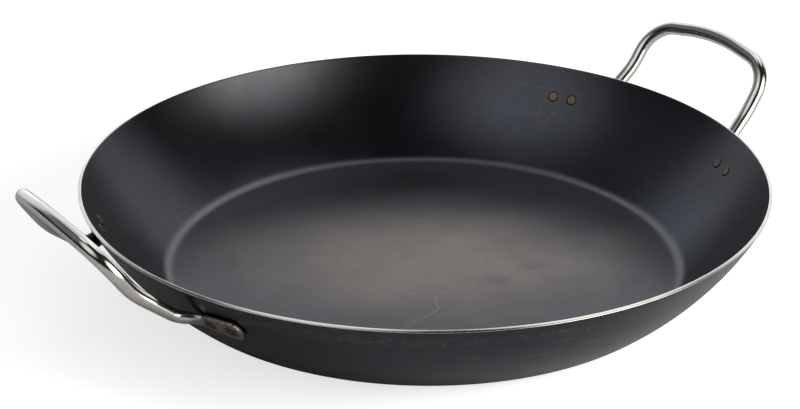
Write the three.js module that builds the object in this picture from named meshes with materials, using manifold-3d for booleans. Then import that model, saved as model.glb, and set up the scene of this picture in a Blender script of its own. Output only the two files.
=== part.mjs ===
// A two-handled cooking pan pressed from blued carbon-steel sheet: a flat floor, a flared
// wall that steepens towards a plain cut rim, and two loop handles of bright round rod,
// whose flattened ends are spot-welded to the outside of the wall.
//
// Millimetres, +Z up. The origin is the centre of the underside. The handles lie along X.

import * as THREE from "three";
import { mergeVertices } from "three/addons/utils/BufferGeometryUtils.js";
import Module from "manifold-3d";

const wasm = await Module();
wasm.setup();

const degrees = THREE.MathUtils.degToRad;

// ---- Driving dimensions ----

// Pan body: one sheet of even thickness. Slopes are measured from the horizontal.
const RIM_DIAMETER = 400;
const SHEET = 2;
const FLOOR_RADIUS = 146;
const CORNER_RADIUS = 13;
const FOOT_SLOPE = degrees(38.5);
const LIP_SLOPE = degrees(62.75);
const RIM_BEVEL = 0.3;

// Handles: round rod, pressed flat at its ends. Each handle's own azimuth turns it a little
// towards +Y, because the two are not welded exactly opposite each other.
const ROD_DIAMETER = 8.4;
const HANDLE_SKEW = degrees(2.35);
const TAB_WIDTH = 15;
const TAB_THICKNESS = 2.6;
const TAB_TIP_LENGTH = 7;
const TAB_TIP_WIDTH = 5;
const TAB_SLOPE = degrees(55.65);
const TAB_TIP_AZIMUTH = degrees(26.6);
const NECK_AZIMUTH = degrees(18.2);
const NECK_WIDTH = 9.4;
const NECK_THICKNESS = 6.6;

// A tab's bend, as a share of the wall's radius beside it; its two ends stay straight.
const TAB_ROUNDING = 0.75;

// How square a tab's section is: 1 is round, and nearer 0 is squarer.
const TAB_ROUNDNESS = 0.45;

// The pressed end, as spans along the rod measured from the neck: the tab narrows, the rod
// thickens again, and then it slowly becomes round.
const NARROWING = [-6, 5];
const THICKENING = [0, 14];
const ROUNDING = [2, 60];

// The rod's bends, from the neck to the middle of the bar: corners of its centre line in
// the handle's own frame (X out from the pan, Y along the bar), each with its bend radius.
const BENDS = [
  { at: new THREE.Vector3(193, 53, 41.5), radius: 11 },
  { at: new THREE.Vector3(215.4, 51, 59.7), radius: 50 },
  { at: new THREE.Vector3(232.7, 50.7, 84.2), radius: 22 },
];
const NECK_BEND_RADIUS = 14;
const BAR_MIDDLE = new THREE.Vector3(238.8, 0, 92);
const BAR_BOW_RADIUS = 120;

// Spot welds: two nuggets through each tab and the wall.
const WELD_RADIUS = 2.8;
const WELD_AZIMUTH = degrees(22.5);
const WELD_HALF_SPACING = degrees(2);
const WELD_DOME = 0.4;
const WELD_DISH = 0.3;
const WELD_DISH_RADIUS = 2;

// Clearance between touching pieces, and how far a cutter runs past what it cuts.
const GAP = 0.3;
const OVERRUN = 3;

// Fineness of the faceted solids.
const PAN_SEGMENTS = 72;
const CORNER_STEPS = 4;
const WALL_STEPS = 7;
const ROD_CURVE_SEGMENTS = 8;
const ROD_STEPS = 92;
const ROD_END_CROWDING = 0.72;
const WELD_SEGMENTS = 10;
const WELD_DOME_STEPS = 3;
const MERGE_DISTANCE = 1e-4;
const SHORTEST_EDGE = 0.01;

// ---- Materials ----

const bluedSteel = new THREE.MeshStandardMaterial({
  color: 0x3c4148,
  roughness: 0.42,
  metalness: 0.85,
});
const brightRod = new THREE.MeshStandardMaterial({
  color: 0xd6d3cd,
  roughness: 0.16,
  metalness: 1,
});
const heatTinted = new THREE.MeshStandardMaterial({
  color: 0x6d5f57,
  roughness: 0.5,
  metalness: 0.8,
});

// ---- Solids ----

// A closed three.js geometry as a manifold solid, without the zero-area triangles that a
// lathe leaves on its axis.
function toSolid(geometry) {
  const bare = geometry.clone();
  bare.deleteAttribute("normal");
  bare.deleteAttribute("uv");
  const merged = mergeVertices(bare, MERGE_DISTANCE);
  const index = merged.index.array;
  const kept = [];
  for (let i = 0; i < index.length; i += 3) {
    const [a, b, c] = [index[i], index[i + 1], index[i + 2]];
    if (a !== b && b !== c && c !== a) {
      kept.push(a, b, c);
    }
  }
  return new wasm.Manifold(new wasm.Mesh({
    numProp: 3,
    vertProperties: Float32Array.from(merged.attributes.position.array),
    triVerts: Uint32Array.from(kept),
  }));
}

// A manifold solid as a three.js geometry, without the slivers that a cut leaves.
function toGeometry(solid) {
  const mesh = solid.simplify(SHORTEST_EDGE).getMesh();
  const geometry = new THREE.BufferGeometry();
  geometry.setAttribute("position", new THREE.BufferAttribute(mesh.vertProperties, 3));
  geometry.setIndex(new THREE.BufferAttribute(mesh.triVerts, 1));
  geometry.computeVertexNormals();
  return geometry;
}

// A profile in the (radius, height) plane turned about Z.
function turned(profile, segments) {
  return new THREE.LatheGeometry(profile, segments).rotateX(Math.PI / 2);
}

// ---- Pan body ----

// The wall is an arc in the (radius, height) plane. Its slope grows from FOOT_SLOPE, where
// the corner ends, to LIP_SLOPE at the rim, whose outer edge is at RIM_DIAMETER.
const wall = (() => {
  const footRadius = FLOOR_RADIUS + CORNER_RADIUS * Math.sin(FOOT_SLOPE);
  const footHeight = SHEET + CORNER_RADIUS * (1 - Math.cos(FOOT_SLOPE));
  const lipRadius = RIM_DIAMETER / 2 - SHEET * Math.sin(LIP_SLOPE);
  const chord = (lipRadius - footRadius) / Math.cos((FOOT_SLOPE + LIP_SLOPE) / 2);
  const radius = chord / (2 * Math.sin((LIP_SLOPE - FOOT_SLOPE) / 2));
  return {
    radius,
    centreRadius: footRadius - radius * Math.sin(FOOT_SLOPE),
    centreHeight: footHeight + radius * Math.cos(FOOT_SLOPE),
  };
})();

// The point that lies `out` beyond the inner surface where the wall has this slope.
function onWall(slope, out) {
  const reach = wall.radius + out;
  return new THREE.Vector2(
    wall.centreRadius + reach * Math.sin(slope),
    wall.centreHeight - reach * Math.cos(slope),
  );
}

// The same for the corner between the floor and the wall.
function onCorner(slope, out) {
  const reach = CORNER_RADIUS + out;
  return new THREE.Vector2(
    FLOOR_RADIUS + reach * Math.sin(slope),
    SHEET + CORNER_RADIUS - reach * Math.cos(slope),
  );
}

// Evenly spaced angles from `from` to `to`, both included.
function angles(from, to, steps) {
  return Array.from({ length: steps + 1 }, (_, i) => from + ((to - from) * i) / steps);
}

function panBodyGeometry() {
  const bevelSlope = LIP_SLOPE - RIM_BEVEL / wall.radius;
  const corner = angles(0, FOOT_SLOPE, CORNER_STEPS).slice(0, -1);
  const flank = angles(FOOT_SLOPE, bevelSlope, WALL_STEPS);
  const outside = [
    new THREE.Vector2(0, 0),
    ...corner.map((slope) => onCorner(slope, SHEET)),
    ...flank.map((slope) => onWall(slope, SHEET)),
    onWall(LIP_SLOPE, SHEET - RIM_BEVEL),
  ];
  const inside = [
    new THREE.Vector2(0, SHEET),
    ...corner.map((slope) => onCorner(slope, 0)),
    ...flank.map((slope) => onWall(slope, 0)),
    onWall(LIP_SLOPE, RIM_BEVEL),
  ];
  return turned([...outside, ...inside.reverse()], PAN_SEGMENTS);
}

// ---- Handles ----

// A point beside the wall at the tabs' height, and the wall's outward normal there.
function besideWall(azimuth, out) {
  const { x: radius, y: height } = onWall(TAB_SLOPE, out);
  return new THREE.Vector3(radius * Math.cos(azimuth), radius * Math.sin(azimuth), height);
}

function wallNormal(azimuth) {
  return new THREE.Vector3(
    Math.sin(TAB_SLOPE) * Math.cos(azimuth),
    Math.sin(TAB_SLOPE) * Math.sin(azimuth),
    -Math.cos(TAB_SLOPE),
  );
}

// A path of straight lines with a round bend at each inner corner.
function bentPath(corners) {
  const path = new THREE.CurvePath();
  let start = corners[0].at;
  for (let i = 1; i < corners.length - 1; i += 1) {
    const { at, radius } = corners[i];
    const back = corners[i - 1].at.clone().sub(at).normalize();
    const ahead = corners[i + 1].at.clone().sub(at).normalize();
    const turn = Math.PI - back.angleTo(ahead);
    const setback = radius * Math.tan(turn / 2);
    const pull = setback - (4 / 3) * Math.tan(turn / 4) * radius;
    const bendStart = at.clone().addScaledVector(back, setback);
    const bendEnd = at.clone().addScaledVector(ahead, setback);
    path.add(new THREE.LineCurve3(start, bendStart));
    path.add(new THREE.CubicBezierCurve3(
      bendStart,
      at.clone().addScaledVector(back, pull),
      at.clone().addScaledVector(ahead, pull),
      bendEnd,
    ));
    start = bendEnd;
  }
  path.add(new THREE.LineCurve3(start, corners[corners.length - 1].at));
  return path;
}

// The rod's centre line, from one tab's tip over the loop to the other's. Each tab follows
// the wall, so its middle is a corner with a bend as wide as the wall is round.
function handlePath() {
  const out = SHEET + GAP + TAB_THICKNESS / 2;
  const tabMiddle = (TAB_TIP_AZIMUTH + NECK_AZIMUTH) / 2;
  const tabHalf = (TAB_TIP_AZIMUTH - NECK_AZIMUTH) / 2;
  const wallRadius = onWall(TAB_SLOPE, out).x;
  const crest = besideWall(tabMiddle, out);
  crest.x /= Math.cos(tabHalf);
  crest.y /= Math.cos(tabHalf);
  const half = [
    { at: besideWall(TAB_TIP_AZIMUTH, out) },
    { at: crest, radius: wallRadius * TAB_ROUNDING },
    { at: besideWall(NECK_AZIMUTH, out), radius: NECK_BEND_RADIUS },
    ...BENDS,
  ];
  const mirrored = half.map(({ at, radius }) => ({
    at: at.clone().multiply(new THREE.Vector3(1, -1, 1)),
    radius,
  }));
  return bentPath([...half, { at: BAR_MIDDLE, radius: BAR_BOW_RADIUS }, ...mirrored.reverse()]);
}

const { smoothstep, lerp } = THREE.MathUtils;

// Width, thickness and roundness of the pressed rod at a distance from its nearer end.
function pressedSection(fromEnd) {
  const tabLength = onWall(TAB_SLOPE, SHEET).x * (TAB_TIP_AZIMUTH - NECK_AZIMUTH);
  const fromNeck = fromEnd - tabLength;
  const tip = Math.max(0, 1 - fromEnd / TAB_TIP_LENGTH);
  const tabWidth = lerp(TAB_TIP_WIDTH, TAB_WIDTH, Math.sqrt(1 - tip * tip));
  const narrow = smoothstep(fromNeck, ...NARROWING);
  const thick = smoothstep(fromNeck, ...THICKENING);
  const round = smoothstep(fromNeck, ...ROUNDING);
  return {
    width: lerp(lerp(tabWidth, NECK_WIDTH, narrow), ROD_DIAMETER, round),
    thickness: lerp(lerp(TAB_THICKNESS, NECK_THICKNESS, thick), ROD_DIAMETER, round),
    power: lerp(TAB_ROUNDNESS, 1, thick),
  };
}

// A coordinate on the unit circle, pushed outwards towards a rounded square for powers
// below one.
function squared(value, power) {
  return Math.sign(value) * Math.abs(value) ** power;
}

// A straight bar of rod, its ends pressed flat, bent along the handle's centre line.
function handleGeometry() {
  const section = new THREE.Shape().absarc(0, 0, 1, 0, 2 * Math.PI, false);
  const bar = new THREE.ExtrudeGeometry(section, {
    depth: 1,
    steps: ROD_STEPS,
    curveSegments: ROD_CURVE_SEGMENTS,
    bevelEnabled: false,
  });
  const path = handlePath();
  const length = path.getLength();
  const stations = Array.from({ length: ROD_STEPS + 1 }, (_, i) => {
    const even = i / ROD_STEPS;
    const crowded = (ROD_END_CROWDING * Math.sin(2 * Math.PI * even)) / (2 * Math.PI);
    const along = THREE.MathUtils.clamp(even - crowded, 0, 1);
    const centre = path.getPointAt(along);
    const tangent = path.getTangentAt(along);
    const normal = wallNormal(Math.atan2(centre.y, centre.x));
    normal.addScaledVector(tangent, -normal.dot(tangent)).normalize();
    return {
      centre,
      normal,
      across: new THREE.Vector3().crossVectors(tangent, normal),
      section: pressedSection(length * Math.min(along, 1 - along)),
    };
  });
  const position = bar.attributes.position;
  const point = new THREE.Vector3();
  for (let i = 0; i < position.count; i += 1) {
    point.fromBufferAttribute(position, i);
    const station = stations[Math.round(point.z * ROD_STEPS)];
    const { width, thickness, power } = station.section;
    const outwards = (squared(point.x, power) * thickness) / 2;
    const sideways = (squared(point.y, power) * width) / 2;
    point.copy(station.centre);
    point.addScaledVector(station.normal, outwards);
    point.addScaledVector(station.across, sideways);
    position.setXYZ(i, point.x, point.y, point.z);
  }
  return bar;
}

// ---- Spot welds ----

// Where a nugget's axis starts on the wall's inner surface, and the turn that lays +Z along
// the wall's outward normal.
function weldPlacement(azimuth) {
  return new THREE.Matrix4().compose(
    besideWall(azimuth, 0),
    new THREE.Quaternion().setFromUnitVectors(new THREE.Vector3(0, 0, 1), wallNormal(azimuth)),
    new THREE.Vector3(1, 1, 1),
  );
}

const STACK = SHEET + GAP + TAB_THICKNESS;

// The nugget runs from a low dome inside the pan to a shallow dish in the tab's face.
function weldGeometry() {
  const dome = angles(0, Math.PI / 2, WELD_DOME_STEPS).map((turn) => (
    new THREE.Vector2(WELD_RADIUS * Math.sin(turn), -WELD_DOME * Math.cos(turn))
  ));
  return turned([
    ...dome,
    new THREE.Vector2(WELD_RADIUS, STACK - WELD_DISH / 2),
    new THREE.Vector2(WELD_DISH_RADIUS, STACK - WELD_DISH),
    new THREE.Vector2(0, STACK - WELD_DISH),
  ], WELD_SEGMENTS);
}

// The hole that leaves GAP all round a nugget.
function weldCutter(placement) {
  const depth = STACK + 2 * OVERRUN;
  const cutter = new THREE.CylinderGeometry(
    WELD_RADIUS + GAP,
    WELD_RADIUS + GAP,
    depth,
    WELD_SEGMENTS,
  );
  cutter.rotateX(Math.PI / 2).translate(0, 0, STACK / 2);
  return toSolid(cutter.applyMatrix4(placement));
}

// ---- Assembly ----

const group = new THREE.Group();

function addMesh(name, geometry, material) {
  const mesh = new THREE.Mesh(geometry, material);
  mesh.name = name;
  group.add(mesh);
  return mesh;
}

// The azimuth of each handle, and of the two nuggets in each of its tabs.
const handles = [
  { side: "right", azimuth: HANDLE_SKEW },
  { side: "left", azimuth: Math.PI - HANDLE_SKEW },
];
const tabs = [
  { letter: "a", azimuths: [WELD_AZIMUTH - WELD_HALF_SPACING, WELD_AZIMUTH + WELD_HALF_SPACING] },
  { letter: "b", azimuths: [WELD_HALF_SPACING - WELD_AZIMUTH, -WELD_AZIMUTH - WELD_HALF_SPACING] },
];

let body = toSolid(panBodyGeometry());
for (const { side, azimuth } of handles) {
  let handle = toSolid(handleGeometry().rotateZ(azimuth));
  for (const { letter, azimuths } of tabs) {
    azimuths.forEach((offset, i) => {
      const placement = weldPlacement(azimuth + offset);
      const cutter = weldCutter(placement);
      body = body.subtract(cutter);
      handle = handle.subtract(cutter);
      const weld = addMesh(`weld_${side}_${letter}${i + 1}`, weldGeometry(), heatTinted);
      weld.applyMatrix4(placement);
    });
  }
  addMesh(`handle_${side}`, toGeometry(handle), brightRod);
}
addMesh("pan_body", toGeometry(body), bluedSteel);

export default group;
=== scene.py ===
"""Looks of a two-handled pan of blued carbon steel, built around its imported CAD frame.

Lengths are in millimetres where a name or comment says so, and MM turns them into metres.
The frame is the CAD's: +Z up, the origin at the centre of the underside, and the handles
along X.
"""

import math

import bpy
import numpy as np
from mathutils import Matrix, Vector


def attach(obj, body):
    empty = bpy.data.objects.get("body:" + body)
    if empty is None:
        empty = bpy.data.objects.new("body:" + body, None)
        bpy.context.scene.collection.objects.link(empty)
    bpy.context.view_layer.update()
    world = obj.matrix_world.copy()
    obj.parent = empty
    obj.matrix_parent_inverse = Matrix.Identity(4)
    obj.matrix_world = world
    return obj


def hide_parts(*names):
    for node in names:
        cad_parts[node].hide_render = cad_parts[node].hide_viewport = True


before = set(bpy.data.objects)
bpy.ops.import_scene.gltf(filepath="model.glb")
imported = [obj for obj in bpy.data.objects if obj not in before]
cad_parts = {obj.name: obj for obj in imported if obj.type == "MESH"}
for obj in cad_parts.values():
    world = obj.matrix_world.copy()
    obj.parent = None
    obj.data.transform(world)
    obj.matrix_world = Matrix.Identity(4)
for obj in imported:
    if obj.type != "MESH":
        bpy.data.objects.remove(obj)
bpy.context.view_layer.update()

MM = 0.001

# ---- Driving dimensions, in millimetres and radians: the CAD's, but for two noted below ----

RIM_RADIUS = 200.0
SHEET = 2.0
FLOOR_RADIUS = 146.0
CORNER_RADIUS = 13.0
FOOT_SLOPE = math.radians(38.5)
LIP_SLOPE = math.radians(62.75)
# The radius of the cut rim's rounded edges, which the CAD bevels.
ARRIS = 0.42

ROD_DIAMETER = 8.4
HANDLE_SKEW = math.radians(2.35)
TAB_WIDTH = 15.0
TAB_THICKNESS = 2.6
TAB_SLOPE = math.radians(55.65)
TAB_TIP_AZIMUTH = math.radians(26.6)
NECK_AZIMUTH = math.radians(18.2)
TAB_ROUNDING = 0.75
NECK_WIDTH = 9.4
NECK_THICKNESS = 6.6
GAP = 0.3
NECK_BEND_RADIUS = 14.0
BENDS = [((193.0, 53.0, 41.5), 11.0), ((215.4, 51.0, 59.7), 50.0), ((232.7, 50.7, 84.2), 22.0)]
# The bar's middle is 0.15 mm inside the CAD's, so that the finer rod stays in the CAD's box.
BAR_MIDDLE = (238.65, 0.0, 91.86)
BAR_BOW_RADIUS = 120.0

WELD_RADIUS = 2.8
WELD_AZIMUTH = math.radians(22.5)
WELD_HALF_SPACING = math.radians(2.0)

# ---- Small helpers ----


def smooth(value, low, high):
    """0 below low, 1 above high, and a smooth step between them."""
    t = np.clip((np.asarray(value, float) - low) / (high - low), 0.0, 1.0)
    return t * t * (3.0 - 2.0 * t)


def mix(a, b, share):
    return a + (b - a) * share


def unit(vector):
    vector = np.asarray(vector, float)
    return vector / np.linalg.norm(vector)


def new_object(name, vertices, faces, materials, face_slots=None):
    """A smooth-shaded mesh object from vertices in millimetres."""
    mesh = bpy.data.meshes.new(name)
    mesh.from_pydata((np.asarray(vertices) * MM).tolist(), [], faces)
    for material in materials:
        mesh.materials.append(material)
    if face_slots is not None:
        mesh.polygons.foreach_set("material_index", face_slots)
    mesh.polygons.foreach_set("use_smooth", [True] * len(mesh.polygons))
    mesh.validate()
    mesh.update()
    piece = bpy.data.objects.new(name, mesh)
    bpy.context.scene.collection.objects.link(piece)
    return piece


def store(piece, name, values):
    """A number for each vertex, for the material to read."""
    attribute = piece.data.attributes.new(name, "FLOAT", "POINT")
    attribute.data.foreach_set("value", np.asarray(values, np.float32))


def turned_about(angle):
    """The rotation about Z by an angle, as a 3x3 array."""
    c, s = math.cos(angle), math.sin(angle)
    return np.array([[c, -s, 0.0], [s, c, 0.0], [0.0, 0.0, 1.0]])


# ---- The wall's shape, as in the CAD: an arc in the (radius, height) plane ----


def wall_arc():
    foot = (
        FLOOR_RADIUS + CORNER_RADIUS * math.sin(FOOT_SLOPE),
        SHEET + CORNER_RADIUS * (1 - math.cos(FOOT_SLOPE)),
    )
    lip_radius = RIM_RADIUS - SHEET * math.sin(LIP_SLOPE)
    chord = (lip_radius - foot[0]) / math.cos((FOOT_SLOPE + LIP_SLOPE) / 2)
    radius = chord / (2 * math.sin((LIP_SLOPE - FOOT_SLOPE) / 2))
    centre = (
        foot[0] - radius * math.sin(FOOT_SLOPE),
        foot[1] + radius * math.cos(FOOT_SLOPE),
    )
    return radius, centre


WALL_RADIUS, WALL_CENTRE = wall_arc()


def on_wall(slope, out):
    """The (radius, height) point `out` beyond the inner surface where the wall has a slope."""
    reach = WALL_RADIUS + out
    return (
        WALL_CENTRE[0] + reach * math.sin(slope),
        WALL_CENTRE[1] - reach * math.cos(slope),
    )


def on_corner(slope, out):
    reach = CORNER_RADIUS + out
    return (
        FLOOR_RADIUS + reach * math.sin(slope),
        SHEET + CORNER_RADIUS - reach * math.cos(slope),
    )


def beside_wall(azimuth, out):
    radius, height = on_wall(TAB_SLOPE, out)
    return np.array([radius * math.cos(azimuth), radius * math.sin(azimuth), height])


def wall_normal(azimuth):
    return np.array([
        math.sin(TAB_SLOPE) * math.cos(azimuth),
        math.sin(TAB_SLOPE) * math.sin(azimuth),
        -math.cos(TAB_SLOPE),
    ])


# ---- Node helpers ----


class Nodes:
    """A material's node tree, with short calls for the nodes used here."""

    def __init__(self, name):
        self.material = bpy.data.materials.new(name)
        self.material.use_nodes = True
        self.tree = self.material.node_tree
        self.shader = self.tree.nodes["Principled BSDF"]
        coordinates = self.tree.nodes.new("ShaderNodeTexCoord")
        self.place = coordinates.outputs["Object"]

    def add(self, kind, inputs=(), **settings):
        node = self.tree.nodes.new(kind)
        for key, value in settings.items():
            setattr(node, key, value)
        for socket, value in dict(inputs).items():
            self.put(node.inputs[socket], value)
        return node

    def put(self, socket, value):
        if isinstance(value, bpy.types.NodeSocket):
            self.tree.links.new(value, socket)
        else:
            socket.default_value = value

    def math(self, operation, *values):
        node = self.add("ShaderNodeMath", operation=operation)
        for socket, value in zip(node.inputs, values):
            self.put(socket, value)
        return node.outputs[0]

    def vector(self, operation, a, b=None, out=0):
        node = self.add("ShaderNodeVectorMath", operation=operation)
        self.put(node.inputs[0], a)
        if b is not None:
            self.put(node.inputs["Scale" if operation == "SCALE" else 1], b)
        return node.outputs[out]

    def step(self, value, low, high, to_low=0.0, to_high=1.0):
        """A smooth step of a value from low to high, onto the range to_low to to_high."""
        node = self.add("ShaderNodeMapRange", interpolation_type="SMOOTHSTEP")
        inputs = (value, low, high, to_low, to_high)
        for socket, given in zip(node.inputs, inputs):
            self.put(socket, given)
        return node.outputs[0]

    def noise(self, scale, detail=3.0, stretch=None, seed=0.0, roughness=0.55):
        """Noise in object space, from 0 to 1. stretch shrinks the pattern along an axis."""
        place = self.place
        if stretch is not None:
            place = self.vector("MULTIPLY", place, stretch)
        if seed:
            place = self.vector("ADD", place, (seed, seed * 0.7, seed * 0.3))
        inputs = {"Vector": place, "Scale": scale, "Detail": detail, "Roughness": roughness}
        return self.add("ShaderNodeTexNoise", inputs).outputs["Fac"]

    def blend(self, share, a, b, kind="MIX"):
        node = self.add("ShaderNodeMix", data_type="RGBA", blend_type=kind)
        self.put(node.inputs["Factor"], share)
        self.put(node.inputs["A"], a if isinstance(a, bpy.types.NodeSocket) else (*a, 1.0))
        self.put(node.inputs["B"], b if isinstance(b, bpy.types.NodeSocket) else (*b, 1.0))
        return node.outputs["Result"]

    def bump(self, height, strength, distance, onto=None):
        inputs = {"Height": height, "Strength": strength, "Distance": distance}
        if onto is not None:
            inputs["Normal"] = onto
        return self.add("ShaderNodeBump", inputs).outputs["Normal"]

    def attribute(self, name):
        return self.add("ShaderNodeAttribute", attribute_name=name).outputs["Fac"]

    def set(self, **inputs):
        for name, value in inputs.items():
            self.put(self.shader.inputs[name.replace("_", " ")], value)

    def turned(self, turn, stretch, shift=(0.0, 0.0, 0.0)):
        """Object space moved by -shift, turned about Z, and then stretched along its axes."""
        moved = self.vector("SUBTRACT", self.place, shift)
        rotation = {"Vector": moved, "Rotation": (0.0, 0.0, -turn), "Scale": (1.0, 1.0, 1.0)}
        turned = self.add("ShaderNodeMapping", rotation).outputs[0]
        return self.vector("MULTIPLY", turned, stretch)

    def spot(self, place, lengths, turn, amount):
        """A soft-edged ellipsoid round a place: its centre and half-lengths are in mm."""
        centre = tuple(value * MM for value in place)
        reach = self.turned(turn, tuple(1.0 / (value * MM) for value in lengths), centre)
        return self.step(self.vector("LENGTH", reach, out=1), 0.15, 1.0, amount, 0.0)

    def scratches(self, turn, seed):
        """Scattered short thin scratches, all running roughly one way."""
        place = self.turned(turn, (60.0, 1100.0, 700.0), (seed, seed, seed))
        streaks = self.add("ShaderNodeTexNoise", {"Vector": place, "Scale": 1.0, "Detail": 0.0})
        patches = self.step(self.noise(14.0, 2.0, seed=seed), 0.56, 0.70)
        return self.math("MULTIPLY", self.step(streaks.outputs["Fac"], 0.76, 0.84), patches)

    def ring_noise(self, radius, height, scale, along):
        """Uneven rings round the axis; along is how much finer the pattern is round it."""
        joined = self.add("ShaderNodeCombineXYZ", {"X": radius, "Y": height}).outputs[0]
        place = self.vector("ADD", joined, self.vector("MULTIPLY", self.place, (along, along, 0.0)))
        inputs = {"Vector": place, "Scale": scale, "Detail": 3.0}
        return self.add("ShaderNodeTexNoise", inputs).outputs["Fac"]

    def stroke(self, points, width):
        """A thin line through points of the floor's plane, in mm."""
        nearest = 1.0
        for start, end in zip(points, points[1:]):
            start = Vector((*start, SHEET)) * MM
            along = Vector((*end, SHEET)) * MM - start
            offset = self.vector("SUBTRACT", self.place, start)
            reach = self.vector("DOT_PRODUCT", offset, along, 1)
            share = self.math("DIVIDE", reach, along.length_squared)
            share = self.math("MINIMUM", self.math("MAXIMUM", share, 0.0), 1.0)
            distance = self.vector("DISTANCE", offset, self.vector("SCALE", along, share), out=1)
            nearest = self.math("MINIMUM", distance, nearest)
        broken = self.step(self.noise(90.0, 2.0), 0.35, 0.6, 0.35, 1.0)
        return self.math("MULTIPLY", self.step(nearest, 0.0, width * MM, 1.0, 0.0), broken)

    def from_weld(self, out):
        """The distance to the nearest weld's axis, measured `out` beyond the inner surface."""
        nearest = 1.0
        for handle_azimuth in (HANDLE_SKEW, math.pi - HANDLE_SKEW):
            for azimuth in weld_points(handle_azimuth).values():
                centre = tuple(beside_wall(azimuth, out) * MM)
                distance = self.vector("DISTANCE", self.place, centre, out=1)
                nearest = self.math("MINIMUM", distance, nearest)
        wander = self.math("MULTIPLY", self.math("SUBTRACT", self.noise(300.0), 0.5), 0.004)
        return self.math("ADD", nearest, wander)


def weld_points(azimuth):
    """The axes of a handle's four nuggets: azimuth of each, with its CAD node's suffix."""
    inner, outer = WELD_AZIMUTH - WELD_HALF_SPACING, WELD_AZIMUTH + WELD_HALF_SPACING
    offsets = {"a1": inner, "a2": outer, "b1": -inner, "b2": -outer}
    return {suffix: azimuth + offset for suffix, offset in offsets.items()}


# A long scratch across the floor and a fainter one, as points in the floor's plane, mm.
LONG_SCRATCH = [(-15, -41), (-20, -38), (-26, -46), (-31, -56), (-40, -59), (-58, -62)]
FAINT_SCRATCH = [(-36, -18), (-31, -33), (-46, -41)]
# Dark smudges on the floor and stains on the wall: place, half-lengths and turn.
SMUDGES = [
    ((48, -44, 2), (14, 10, 9), -0.6),
    ((19, -46, 2), (13, 9, 9), -0.6),
    ((59, -75, 2), (14, 10, 9), -0.6),
]
STAINS = [((137, 93, 15), (13, 5, 9), 2.2), ((159, 82, 29), (16, 7, 12), 2.1)]


# Reflectances of the blued sheet and of what marks it.
WALL_STEEL = (0.060, 0.065, 0.079)
FLOOR_STEEL = (0.060, 0.061, 0.071)
MIDDLE_STEEL = (0.152, 0.128, 0.118)
OUTSIDE_STEEL = (0.038, 0.041, 0.058)
LIP_STEEL = (0.062, 0.062, 0.070)
SMUDGE_COLOUR = (0.066, 0.072, 0.088)
# The lighter colour of the painted highlight on the inner corner.
RING_HIGHLIGHT_STEEL = (0.150, 0.152, 0.158)
STAIN_COLOUR = (0.120, 0.090, 0.068)
HEAT_COLOUR = (0.080, 0.066, 0.060)
SCUFF_COLOUR = (0.200, 0.190, 0.175)
# The corner's painted highlight, a lighter ring: least at its far and near sides, as the camera
# sees it, and most at its left and right.
LEAST_RING_HIGHLIGHT = 0.0
MOST_RING_HIGHLIGHT = 0.60
# Reflectances of the bare rim, the rod and the welds.
RIM_DULL = (0.72, 0.69, 0.655)
RIM_BRIGHT = (0.79, 0.76, 0.73)
RIM_PATCH = (0.34, 0.33, 0.32)
ROD_BRIGHT = (0.72, 0.70, 0.665)
ROD_DULL = (0.65, 0.63, 0.595)
ROD_PRESSED = (0.19, 0.15, 0.128)
ROD_HEATED = (0.060, 0.037, 0.030)
WELD_DARK = (0.105, 0.078, 0.066)
WELD_PALE = (0.19, 0.155, 0.135)
WELD_EDGE = (0.045, 0.034, 0.030)
WELD_OUTSIDE = (0.052, 0.034, 0.028)
# The brown middle of the floor is an oval: its turn, and how much it is drawn out.
MIDDLE_TURN = math.radians(36.0)
MIDDLE_STRETCH = 0.6


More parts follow.
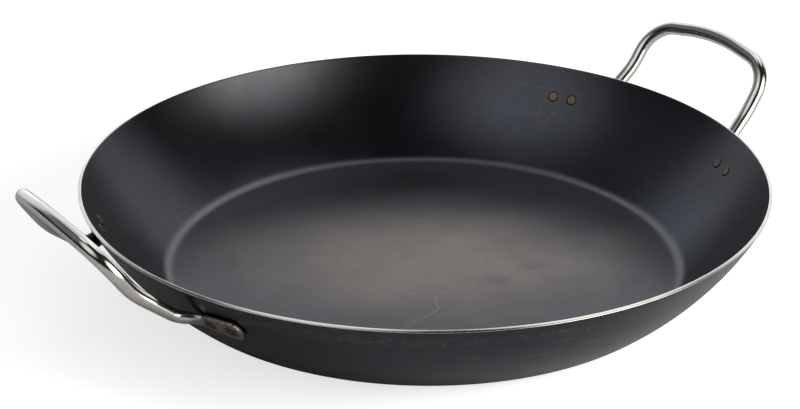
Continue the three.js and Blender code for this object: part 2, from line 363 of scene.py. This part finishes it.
def blued_steel():
    """Heat-blued sheet: blue-black, browner in the middle of the floor, faintly scuffed."""
    n = Nodes("blued_steel")
    outside = n.attribute("outside")
    inside = n.math("SUBTRACT", 1.0, outside)
    radius = n.vector("LENGTH", n.vector("MULTIPLY", n.place, (1.0, 1.0, 0.0)), out=1)
    height = n.add("ShaderNodeSeparateXYZ", {"Vector": n.place}).outputs["Z"]
    wander = n.math("MULTIPLY", n.math("SUBTRACT", n.noise(9.0, 4.0), 0.5), 0.09)
    wandered = n.math("ADD", radius, wander)
    on_floor = n.step(radius, 0.140, 0.156, 1.0, 0.0)
    colour = n.blend(on_floor, WALL_STEEL, FLOOR_STEEL)
    reach = n.vector("LENGTH", n.turned(-MIDDLE_TURN, (MIDDLE_STRETCH, 1.0, 0.0)), out=1)
    drift = n.math("MULTIPLY", n.math("SUBTRACT", n.noise(14.0, 2.0), 0.5), 0.05)
    middle = n.step(n.math("ADD", reach, drift), 0.020, 0.088, 1.0, 0.0)
    middle = n.math("MULTIPLY", middle, inside)
    colour = n.blend(middle, colour, MIDDLE_STEEL)
    colour = n.blend(outside, colour, OUTSIDE_STEEL)
    colour = n.blend(n.step(wandered, 0.165, 0.205, 0.0, 0.7), colour, LIP_STEEL)
    mottle = n.step(n.noise(34.0, 5.0, seed=3.1), 0.35, 0.75, -0.06, 0.06)
    rings = n.ring_noise(radius, height, 520.0, 0.02)
    grain = n.step(n.noise(850.0, 2.0, seed=11.0), 0.3, 0.7, -0.07, 0.07)
    shade = n.math("ADD", n.math("ADD", mottle, grain), n.step(rings, 0.25, 0.8, -0.03, 0.04))
    colour = n.vector("SCALE", colour, n.math("ADD", shade, 1.0))
    # Painted highlight: a lighter ring on the inner corner, strongest at its left and right as the
    # camera sees it.
    ring_in = n.step(radius, 0.1470, 0.1505)
    ring_out = n.step(radius, 0.1510, 0.1550, 1.0, 0.0)
    ring_highlight = n.math("MULTIPLY", ring_in, ring_out)
    sideways = n.vector("LENGTH", n.turned(-MIDDLE_TURN, (1.0, 0.0, 0.0)), out=1)
    uneven = n.step(sideways, 0.05, 0.14, LEAST_RING_HIGHLIGHT, MOST_RING_HIGHLIGHT)
    ring_highlight = n.math("MULTIPLY", n.math("MULTIPLY", ring_highlight, inside), uneven)
    colour = n.blend(ring_highlight, colour, RING_HIGHLIGHT_STEEL)
    heated = n.step(n.from_weld(SHEET / 2), 0.003, 0.009, 0.6, 0.0)
    colour = n.blend(heated, colour, HEAT_COLOUR)
    for place, lengths, turn in SMUDGES:
        colour = n.blend(n.spot(place, lengths, turn, 0.6), colour, SMUDGE_COLOUR)
    for place, lengths, turn in STAINS:
        spot = n.spot(place, lengths, turn, 0.8)
        patchy = n.math("MULTIPLY", spot, n.step(n.noise(420.0, 4.0), 0.48, 0.66))
        colour = n.blend(patchy, colour, STAIN_COLOUR)
    scuffs = n.math("MAXIMUM", n.scratches(0.4, 1.3), n.scratches(-0.9, 4.7))
    scuffs = n.math("MULTIPLY", n.math("MAXIMUM", scuffs, n.scratches(1.9, 8.1)), 0.14)
    drawn = n.math("MAXIMUM", n.stroke(LONG_SCRATCH, 0.8), n.stroke(FAINT_SCRATCH, 0.5))
    scuffs = n.math("MULTIPLY", scuffs, n.math("SUBTRACT", 1.0, on_floor))
    scuffs = n.math("MAXIMUM", scuffs, n.math("MULTIPLY", n.math("MULTIPLY", drawn, inside), 0.7))
    rubbed = n.step(n.ring_noise(radius, height, 240.0, 0.20), 0.52, 0.72)
    rubbed = n.math("MULTIPLY", rubbed, n.step(n.noise(11.0, 2.0, seed=7.0), 0.48, 0.62, 0.0, 0.34))
    band_low = n.step(radius, 0.1930, 0.1945)
    band_high = n.step(radius, 0.1965, 0.198, 1.0, 0.0)
    below_lip = n.math("MULTIPLY", band_low, band_high)
    specks = n.step(n.noise(600.0, 3.0, seed=2.0), 0.50, 0.68, 0.0, 0.42)
    specks = n.math("MULTIPLY", specks, below_lip)
    rubbed = n.math("MULTIPLY", n.math("MAXIMUM", rubbed, specks), outside)
    colour = n.blend(n.math("MAXIMUM", scuffs, rubbed), colour, SCUFF_COLOUR)
    rough = n.step(n.noise(16.0, 4.0, seed=1.7), 0.3, 0.7, 0.26, 0.31)
    n.set(Base_Color=colour, Metallic=1.0, Roughness=rough)
    fine = n.bump(n.noise(700.0, 3.0), 0.03, 0.0002)
    grooved = n.bump(rings, 0.02, 0.0002, onto=fine)
    n.set(Normal=n.bump(n.noise(60.0, 3.0, seed=5.0), 0.05, 0.0006, onto=grooved))
    return n.material


def bare_edge():
    """The ground rim: bare metal, smooth along the edge, with a few dull patches."""
    n = Nodes("bare_edge")
    marks = n.noise(500.0, 3.0)
    patches = n.noise(18.0, 4.0, seed=6.3)
    colour = n.blend(n.step(marks, 0.35, 0.7), RIM_DULL, RIM_BRIGHT)
    colour = n.blend(n.step(patches, 0.50, 0.68, 0.0, 0.50), colour, RIM_PATCH)
    n.set(Base_Color=colour, Metallic=1.0, Roughness=n.step(marks, 0.3, 0.7, 0.12, 0.20))
    return n.material


def bright_rod():
    """Polished stainless rod, duller and heat-tinted where it is pressed flat and welded."""
    n = Nodes("bright_rod")
    pressed = n.attribute("pressed")
    heat = n.step(n.from_weld(SHEET + GAP + TAB_THICKNESS), 0.0030, 0.0050, 0.95, 0.0)
    crumpled = n.attribute("crumpled")
    speck = n.noise(420.0, 4.0)
    colour = n.blend(n.step(speck, 0.3, 0.75), ROD_BRIGHT, ROD_DULL)
    tinted = n.math("MULTIPLY", pressed, n.step(speck, 0.2, 0.8, 0.6, 1.0))
    colour = n.blend(tinted, colour, ROD_PRESSED)
    colour = n.blend(heat, colour, ROD_HEATED)
    rough = n.math("ADD", n.step(speck, 0.3, 0.8, 0.12, 0.17), n.math("MULTIPLY", pressed, 0.20))
    rough = n.math("ADD", rough, n.math("MULTIPLY", crumpled, 0.08))
    n.set(Base_Color=colour, Metallic=1.0, Roughness=rough)
    drawn = n.bump(n.noise(60.0, 2.0, seed=4.0), 0.06, 0.0008)
    dented = n.math("ADD", n.math("MULTIPLY", pressed, 0.25), n.math("MULTIPLY", crumpled, 0.5))
    n.set(Normal=n.bump(n.noise(260.0, 4.0, seed=2.0), dented, 0.0007, onto=drawn))
    return n.material


def weld_tint():
    """A spot weld's nugget: brown heat tint, lighter in its middle and dark round its edge."""
    n = Nodes("weld_tint")
    stain = n.noise(500.0, 4.0)
    edge = n.attribute("edge")
    colour = n.blend(n.step(stain, 0.3, 0.7), WELD_DARK, WELD_PALE)
    colour = n.blend(n.step(edge, 0.55, 0.85, 0.0, 0.85), colour, WELD_EDGE)
    colour = n.blend(n.attribute("outside"), colour, WELD_OUTSIDE)
    n.set(Base_Color=colour, Metallic=1.0, Roughness=n.step(stain, 0.2, 0.8, 0.30, 0.45))
    n.set(Normal=n.bump(stain, 0.2, 0.0003))
    return n.material


# ---- Pan body ----

PAN_SEGMENTS = 288
FLOOR_RINGS = 20
CORNER_RINGS = 10
WALL_RINGS = 44
ARRIS_RINGS = 5


def pan_profile():
    """The section from the axis underneath, round the rim, to the axis on the inside."""
    floor = [FLOOR_RADIUS * (i / FLOOR_RINGS) ** 0.8 for i in range(1, FLOOR_RINGS)]
    corner = np.linspace(0.0, FOOT_SLOPE, CORNER_RINGS + 1)[:-1]
    flank = np.linspace(FOOT_SLOPE, LIP_SLOPE - ARRIS / WALL_RADIUS, WALL_RINGS + 1)
    along = np.array([math.cos(LIP_SLOPE), math.sin(LIP_SLOPE)])
    outward = np.array([math.sin(LIP_SLOPE), -math.cos(LIP_SLOPE)])
    turns = np.linspace(0.0, math.pi / 2, ARRIS_RINGS + 1)[1:]

    def arris(corner_point, side):
        middle = np.array(corner_point) - ARRIS * along - side * ARRIS * outward
        return [middle + ARRIS * (side * outward * math.cos(t) + along * math.sin(t)) for t in turns]

    outside = [(r, 0.0) for r in floor]
    outside += [on_corner(slope, SHEET) for slope in corner]
    outside += [on_wall(slope, SHEET) for slope in flank]
    outer_arris = arris(on_wall(LIP_SLOPE, SHEET), 1.0)
    inner_arris = arris(on_wall(LIP_SLOPE, 0.0), -1.0)[::-1]
    inside = [on_wall(slope, 0.0) for slope in flank[::-1]]
    inside += [on_corner(slope, 0.0) for slope in corner[::-1]]
    inside += [(r, SHEET) for r in floor[::-1]]
    points = outside + outer_arris + inner_arris + inside
    bare = range(len(outside), len(outside) + len(outer_arris) + len(inner_arris) - 1)
    return np.array([tuple(p) for p in points]), bare


def make_pan():
    profile, bare = pan_profile()
    azimuths = np.arange(PAN_SEGMENTS) * (2 * math.pi / PAN_SEGMENTS)
    radius, height = profile[:, 0], profile[:, 1]
    rings = np.stack([
        np.outer(radius, np.cos(azimuths)),
        np.outer(radius, np.sin(azimuths)),
        np.repeat(height[:, None], PAN_SEGMENTS, axis=1),
    ], axis=-1)
    vertices = rings.reshape(-1, 3).tolist()
    under = len(vertices)
    vertices += [(0.0, 0.0, 0.0), (0.0, 0.0, SHEET)]
    faces, slots = [], []
    for i in range(PAN_SEGMENTS):
        j = (i + 1) % PAN_SEGMENTS
        faces.append((under, j, i))
        slots.append(0)
        for k in range(len(profile) - 1):
            a, b = k * PAN_SEGMENTS, (k + 1) * PAN_SEGMENTS
            faces.append((a + i, a + j, b + j, b + i))
            slots.append(1 if k in bare else 0)
        last = (len(profile) - 1) * PAN_SEGMENTS
        faces.append((under + 1, last + i, last + j))
        slots.append(0)
    pan = new_object("pan_sheet", vertices, faces, [blued_steel(), bare_edge()], slots)
    turn = len(profile) // 2
    beyond = np.repeat([1.0] * turn + [0.0] * (len(profile) - turn), PAN_SEGMENTS)
    store(pan, "outside", [*beyond, 1.0, 0.0])
    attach(pan, "root")
    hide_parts("pan_body")


# ---- Handles ----

ROD_SIDES = 40
ROD_STEP = 0.8


def bent_path(corners, spacing):
    """Points along straight lines joined by circular bends, `spacing` apart."""
    points = [np.array(corners[0][0], float)]
    for i in range(1, len(corners) - 1):
        at, radius = np.array(corners[i][0], float), corners[i][1]
        back = unit(np.array(corners[i - 1][0], float) - at)
        ahead = unit(np.array(corners[i + 1][0], float) - at)
        turn = math.pi - math.acos(float(np.clip(back @ ahead, -1.0, 1.0)))
        setback = radius * math.tan(turn / 2)
        middle = at + unit(back + ahead) * radius / math.cos(turn / 2)
        start, end = at + back * setback, at + ahead * setback
        first = unit(start - middle)
        second = unit((end - middle) - first * ((end - middle) @ first))
        for t in np.linspace(0.0, turn, max(3, int(radius * turn / spacing))):
            points.append(middle + radius * (first * math.cos(t) + second * math.sin(t)))
    points.append(np.array(corners[-1][0], float))
    points = np.array(points)
    along = np.r_[0.0, np.cumsum(np.linalg.norm(np.diff(points, axis=0), axis=1))]
    count = int(round(along[-1] / spacing))
    even = np.linspace(0.0, along[-1], count + 1)
    return np.stack([np.interp(even, along, points[:, k]) for k in range(3)], axis=1), even


def handle_corners():
    out = SHEET + GAP + TAB_THICKNESS / 2
    half_tab = (TAB_TIP_AZIMUTH - NECK_AZIMUTH) / 2
    crest = beside_wall((TAB_TIP_AZIMUTH + NECK_AZIMUTH) / 2, out)
    crest[:2] /= math.cos(half_tab)
    half = [
        (beside_wall(TAB_TIP_AZIMUTH, out), 0.0),
        (crest, on_wall(TAB_SLOPE, out)[0] * TAB_ROUNDING),
        (beside_wall(NECK_AZIMUTH, out), NECK_BEND_RADIUS),
        *BENDS,
    ]
    mirrored = [(np.array(at) * (1.0, -1.0, 1.0), radius) for at, radius in half[::-1]]
    return [*half, (BAR_MIDDLE, BAR_BOW_RADIUS), *mirrored]


# Lengths over which the tab's lower corner rounds off and its upper edge is cut back, mm.
TIP_ROUND = 6.5
TIP_CUT = 5.0
TAB_LENGTH = on_wall(TAB_SLOPE, SHEET)[0] * (TAB_TIP_AZIMUTH - NECK_AZIMUTH)


def pressed_section(from_end):
    """Width, thickness, roundness and upward shift of the rod, by distance from its end.

    The tab's end is sheared aslant: its upper edge stops short, and its lower corner is round.
    """
    from_neck = from_end - TAB_LENGTH
    round_end = np.clip(1.0 - from_end / TIP_ROUND, 0.0, 1.0)
    low_edge = mix(1.0, TAB_WIDTH / 2, np.sqrt(1.0 - round_end * round_end))
    cut = np.clip(from_end / TIP_CUT, 0.0, 1.0)
    high_edge = mix(-low_edge + 1.6, TAB_WIDTH / 2, np.sqrt(cut * (2.0 - cut)))
    tab_width = low_edge + high_edge
    narrow = smooth(from_neck, -13.0, 3.0)
    thick = smooth(from_neck, 0.0, 14.0)
    rounding = smooth(from_neck, 2.0, 60.0)
    width = mix(mix(tab_width, NECK_WIDTH, narrow), ROD_DIAMETER, rounding)
    tab_thickness = TAB_THICKNESS * (1.0 - 0.35 * np.clip(1.0 - from_end / 1.2, 0.0, 1.0) ** 2)
    thickness = mix(mix(tab_thickness, NECK_THICKNESS, thick), ROD_DIAMETER, rounding)
    shift = (high_edge - low_edge) / 2 * (1.0 - narrow)
    return width, thickness, mix(0.38, 1.0, thick), shift


def make_handle(side, azimuth, material):
    centres, along = bent_path(handle_corners(), ROD_STEP)
    tangents = np.gradient(centres, axis=0)
    tangents /= np.linalg.norm(tangents, axis=1)[:, None]
    normals = np.array([wall_normal(math.atan2(c[1], c[0])) for c in centres])
    normals -= tangents * np.sum(normals * tangents, axis=1)[:, None]
    normals /= np.linalg.norm(normals, axis=1)[:, None]
    across = np.cross(tangents, normals)
    from_end = np.minimum(along, along[-1] - along)
    width, thickness, power, shift = pressed_section(from_end)
    centres += across * (shift * np.sign(across[:, 2]))[:, None]
    turns = np.arange(ROD_SIDES) * (2 * math.pi / ROD_SIDES)
    cosines, sines = np.cos(turns), np.sin(turns)

    def squared(values):
        return np.sign(values)[None, :] * np.abs(values)[None, :] ** power[:, None]

    outwards = squared(cosines) * thickness[:, None] / 2
    sideways = squared(sines) * width[:, None] / 2
    rings = (
        centres[:, None, :]
        + outwards[:, :, None] * normals[:, None, :]
        + sideways[:, :, None] * across[:, None, :]
    )
    rotation = turned_about(azimuth)
    vertices = rings.reshape(-1, 3) @ rotation.T
    count = len(centres)
    ends = centres[[0, -1]] @ rotation.T
    vertices = np.vstack([vertices, ends])
    faces = []
    for k in range(count - 1):
        for i in range(ROD_SIDES):
            j = (i + 1) % ROD_SIDES
            a, b = k * ROD_SIDES, (k + 1) * ROD_SIDES
            faces.append((a + i, a + j, b + j, b + i))
    last = (count - 1) * ROD_SIDES
    tip = count * ROD_SIDES
    for i in range(ROD_SIDES):
        j = (i + 1) % ROD_SIDES
        faces.append((tip, j, i))
        faces.append((tip + 1, last + i, last + j))
    handle = new_object(f"rod_{side}", vertices, faces, [material])
    pressed = 1.0 - smooth(from_end - TAB_LENGTH, -4.0, 12.0)
    store(handle, "pressed", np.r_[np.repeat(pressed, ROD_SIDES), 1.0, 1.0])
    beyond_neck = from_end - TAB_LENGTH
    crumpled = smooth(beyond_neck, 9.0, 14.0) * (1.0 - smooth(beyond_neck, 22.0, 32.0))
    store(handle, "crumpled", np.r_[np.repeat(crumpled, ROD_SIDES), 0.0, 0.0])
    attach(handle, "root")
    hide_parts(f"handle_{side}")


# ---- Spot welds ----

WELD_SIDES = 40
WELD_HEAD_RADIUS = 3.7


def make_weld(side, suffix, azimuth, material):
    """A nugget through the wall and the tab: a low dome inside, a shallow dish outside."""
    stack = SHEET + GAP + TAB_THICKNESS
    profile = [
        (0.0, -0.30), (1.2, -0.32), (2.2, -0.38), (2.9, -0.36), (3.4, -0.22),
        (WELD_HEAD_RADIUS, 0.05), (2.9, 0.5), (WELD_RADIUS, 1.0), (WELD_RADIUS, stack - 0.5),
        (2.7, stack + 0.02), (2.5, stack + 0.10), (2.2, stack + 0.05),
        (1.6, stack - 0.10), (0.8, stack - 0.16), (0.0, stack - 0.18),
    ]
    normal = wall_normal(azimuth)
    first = np.array([-math.sin(azimuth), math.cos(azimuth), 0.0])
    second = np.cross(normal, first)
    base = beside_wall(azimuth, 0.0)
    turns = np.arange(WELD_SIDES) * (2 * math.pi / WELD_SIDES)
    vertices = [base + normal * profile[0][1]]
    for radius, out in profile[1:-1]:
        for t in turns:
            vertices.append(
                base + normal * out + radius * (first * math.cos(t) + second * math.sin(t))
            )
    vertices.append(base + normal * profile[-1][1])
    faces = []
    rings = len(profile) - 2
    for i in range(WELD_SIDES):
        j = (i + 1) % WELD_SIDES
        faces.append((0, 1 + j, 1 + i))
        for k in range(rings - 1):
            a, b = 1 + k * WELD_SIDES, 1 + (k + 1) * WELD_SIDES
            faces.append((a + i, a + j, b + j, b + i))
        last = 1 + (rings - 1) * WELD_SIDES
        faces.append((len(vertices) - 1, last + i, last + j))
    weld = new_object(f"nugget_{side}_{suffix}", vertices, faces, [material])
    radii = [radius / WELD_HEAD_RADIUS for radius, _ in profile[1:-1]]
    store(weld, "edge", [0.0, *np.repeat(radii, WELD_SIDES), 0.0])
    beyond = [float(out > stack / 2) for _, out in profile[1:-1]]
    store(weld, "outside", [0.0, *np.repeat(beyond, WELD_SIDES), 1.0])
    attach(weld, "root")
    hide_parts(f"weld_{side}_{suffix}")


# ---- Camera, floor and light ----

CAMERA_PLACE = Vector((-0.69408, -0.93097, 0.55921))
VIEW_TURN = math.radians(36.0)
VIEW_TILT = math.radians(24.176)
VIEW_ROLL = math.radians(0.2645)
LENS = 97.886
FLOOR_SIZE = 2.0
FLOOR_DROP = 0.0004
FLOOR_GREY = (0.50, 0.50, 0.50, 1.0)
FLOOR_ROUGHNESS = 0.9
FLOOR_GLOSS = 0.1
# Light that the floor adds for the camera alone, so that it looks almost white.
FLOOR_LIFT = 0.72


def make_camera():
    away = Vector((math.sin(VIEW_TURN), math.cos(VIEW_TURN), 0.0))
    forward = away * math.cos(VIEW_TILT) - Vector((0.0, 0.0, math.sin(VIEW_TILT)))
    level = forward.cross(Vector((0.0, 0.0, 1.0))).normalized()
    upright = level.cross(forward)
    right = level * math.cos(VIEW_ROLL) + upright * math.sin(VIEW_ROLL)
    up = right.cross(forward)
    camera = bpy.data.objects.new("camera", bpy.data.cameras.new("camera"))
    camera.data.lens = LENS
    camera.data.sensor_width = 36.0
    camera.data.sensor_fit = "HORIZONTAL"
    turn = Matrix((right, up, -forward)).transposed().to_4x4()
    camera.matrix_world = Matrix.Translation(CAMERA_PLACE) @ turn
    bpy.context.scene.collection.objects.link(camera)
    bpy.context.scene.camera = camera


def make_floor():
    half = FLOOR_SIZE / 2
    mesh = bpy.data.meshes.new("floor")
    corners = [(-half, -half, 0.0), (half, -half, 0.0), (half, half, 0.0), (-half, half, 0.0)]
    mesh.from_pydata(corners, [], [(0, 1, 2, 3)])
    floor = bpy.data.objects.new("floor", mesh)
    floor.location.z = -FLOOR_DROP
    bpy.context.scene.collection.objects.link(floor)
    material = bpy.data.materials.new("pale_floor")
    material.use_nodes = True
    shader = material.node_tree.nodes["Principled BSDF"]
    shader.inputs["Base Color"].default_value = FLOOR_GREY
    shader.inputs["Roughness"].default_value = FLOOR_ROUGHNESS
    shader.inputs["Specular IOR Level"].default_value = FLOOR_GLOSS
    shader.inputs["Emission Color"].default_value = (1.0, 1.0, 1.0, 1.0)
    seen = material.node_tree.nodes.new("ShaderNodeLightPath").outputs["Is Camera Ray"]
    lifted = material.node_tree.nodes.new("ShaderNodeMath")
    lifted.operation = "MULTIPLY"
    material.node_tree.links.new(seen, lifted.inputs[0])
    lifted.inputs[1].default_value = FLOOR_LIFT
    material.node_tree.links.new(lifted.outputs[0], shader.inputs["Emission Strength"])
    mesh.materials.append(material)


# The studio's soft lights, as seen from the object: azimuth from straight beyond it, positive
# to the right of the camera's view, elevation and half-width in degrees, strength, colour.
# The floor mirrors the backdrop, the left of the bowl mirrors the softbox, and the rim and the
# rods' upper sides mirror the top panels.
NEUTRAL = (1.0, 1.0, 1.0)
WARM = (1.0, 0.96, 0.88)
COOL = (0.96, 1.0, 1.05)
LIGHTS = [
    ("backdrop", 0.0, 5.0, 30.0, 0.7, NEUTRAL),
    ("backdrop_left", -30.0, 15.0, 35.0, 0.9, COOL),
    ("backdrop_right", 30.0, 20.0, 35.0, 1.0, NEUTRAL),
    ("backdrop_top", 0.0, 50.0, 30.0, 0.8, NEUTRAL),
    ("top_left", -40.0, 70.0, 17.0, 0.9, NEUTRAL),
    ("top_right", 45.0, 60.0, 20.0, 1.2, NEUTRAL),
    ("side_left", -75.0, 35.0, 30.0, 0.15, COOL),
    ("softbox", 120.0, 15.0, 34.0, 4.0, WARM),
    ("window", 225.0, 45.0, 33.0, 1.0, NEUTRAL),
]
LIGHT_CORE = 0.2
AMBIENT = 0.015
SHOWN_BACKGROUND = (1.0, 1.0, 1.0, 1.0)
# The floor's lamp: azimuth and elevation in degrees, distance and size in metres, watts.
KEY_AZIMUTH = 105.0
KEY_ELEVATION = 24.0
KEY_DISTANCE = 1.5
KEY_SIZE = 0.7
KEY_POWER = 26.0


def heading(azimuth, elevation):
    """The direction of a light, in the model's axes."""
    around = VIEW_TURN + math.radians(azimuth)
    up = math.radians(elevation)
    return (math.sin(around) * math.cos(up), math.cos(around) * math.cos(up), math.sin(up))


def make_key():
    """A lamp beside the softbox that lights the floor. Glossy rays don't see it."""
    lamp = bpy.data.lights.new("key", "AREA")
    lamp.size = KEY_SIZE
    lamp.energy = KEY_POWER
    lamp.color = NEUTRAL
    key = bpy.data.objects.new("key", lamp)
    key.location = Vector(heading(KEY_AZIMUTH, KEY_ELEVATION)) * KEY_DISTANCE
    key.rotation_euler = key.location.to_track_quat("Z", "Y").to_euler()
    key.visible_glossy = False
    bpy.context.scene.collection.objects.link(key)


def make_world():
    """A dim studio with soft lights; the camera itself sees a plain white background."""
    world = bpy.data.worlds.new("studio")
    world.use_nodes = True
    bpy.context.scene.world = world
    tree = world.node_tree
    background = tree.nodes["Background"]
    direction = tree.nodes.new("ShaderNodeTexCoord").outputs["Generated"]
    total = None
    for name, azimuth, elevation, edge, strength, colour in LIGHTS:
        towards = tree.nodes.new("ShaderNodeVectorMath")
        towards.operation = "DOT_PRODUCT"
        tree.links.new(direction, towards.inputs[0])
        towards.inputs[1].default_value = heading(azimuth, elevation)
        glow = tree.nodes.new("ShaderNodeMapRange")
        glow.label = name
        glow.interpolation_type = "SMOOTHSTEP"
        tree.links.new(towards.outputs["Value"], glow.inputs["Value"])
        glow.inputs["From Min"].default_value = math.cos(math.radians(edge))
        glow.inputs["From Max"].default_value = math.cos(math.radians(edge * LIGHT_CORE))
        summed = tree.nodes.new("ShaderNodeVectorMath")
        summed.operation = "MULTIPLY_ADD"
        tree.links.new(glow.outputs["Result"], summed.inputs[0])
        summed.inputs[1].default_value = [strength * channel for channel in colour]
        if total is None:
            summed.inputs[2].default_value = (AMBIENT, AMBIENT, AMBIENT)
        else:
            tree.links.new(total, summed.inputs[2])
        total = summed.outputs[0]
    seen = tree.nodes.new("ShaderNodeLightPath")
    shown = tree.nodes.new("ShaderNodeMix")
    shown.data_type = "RGBA"
    tree.links.new(seen.outputs["Is Camera Ray"], shown.inputs["Factor"])
    tree.links.new(total, shown.inputs["A"])
    shown.inputs["B"].default_value = SHOWN_BACKGROUND
    tree.links.new(shown.outputs["Result"], background.inputs["Color"])


make_camera()
make_floor()
make_world()
make_key()
make_pan()
rod = bright_rod()
tint = weld_tint()
for side, azimuth in (("right", HANDLE_SKEW), ("left", math.pi - HANDLE_SKEW)):
    make_handle(side, azimuth, rod)
    for suffix, weld_azimuth in weld_points(azimuth).items():
        make_weld(side, suffix, weld_azimuth, tint)

bpy.context.scene.view_settings.view_transform = "Standard"
